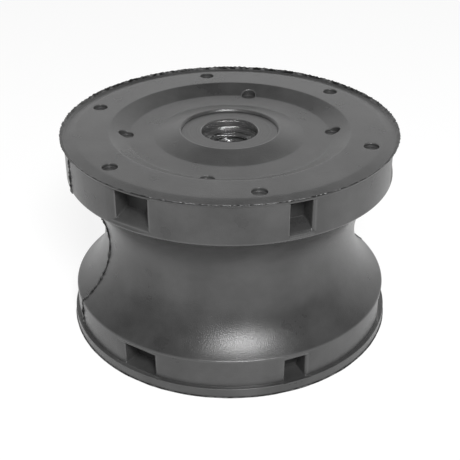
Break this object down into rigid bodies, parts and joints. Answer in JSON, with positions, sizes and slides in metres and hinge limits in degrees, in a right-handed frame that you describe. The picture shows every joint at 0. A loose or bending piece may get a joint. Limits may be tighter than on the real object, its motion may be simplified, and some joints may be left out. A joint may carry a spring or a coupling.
{
  "type": "engine mount",
  "caption": "Spool-shaped rubber-to-metal engine mount with dished end faces, pocketed rims and a blind threaded steel hub at either end, bolted between an engine foot and its frame.",
  "frame": {"origin": "centre of the lower end face, on the mount's axis", "axes": "+Z along the axis, from the lower hub to the upper hub; -Y is the side that the picture shows"},
  "size_m": [0.1406, 0.1406, 0.0876],
  "materials": {
    "moulded_rubber": "matt moulded, with trimmed flash at the mould joints",
    "plate_steel": "sheared edge, grey bonding coat",
    "hub_steel": "turned and tapped, dull face"
  },
  "bodies": {
    "root": {"rubber_body": "moulded_rubber", "upper_plate": "plate_steel", "upper_hub": "hub_steel", "lower_plate": "plate_steel", "lower_hub": "hub_steel"}
  },
  "joints": []
}
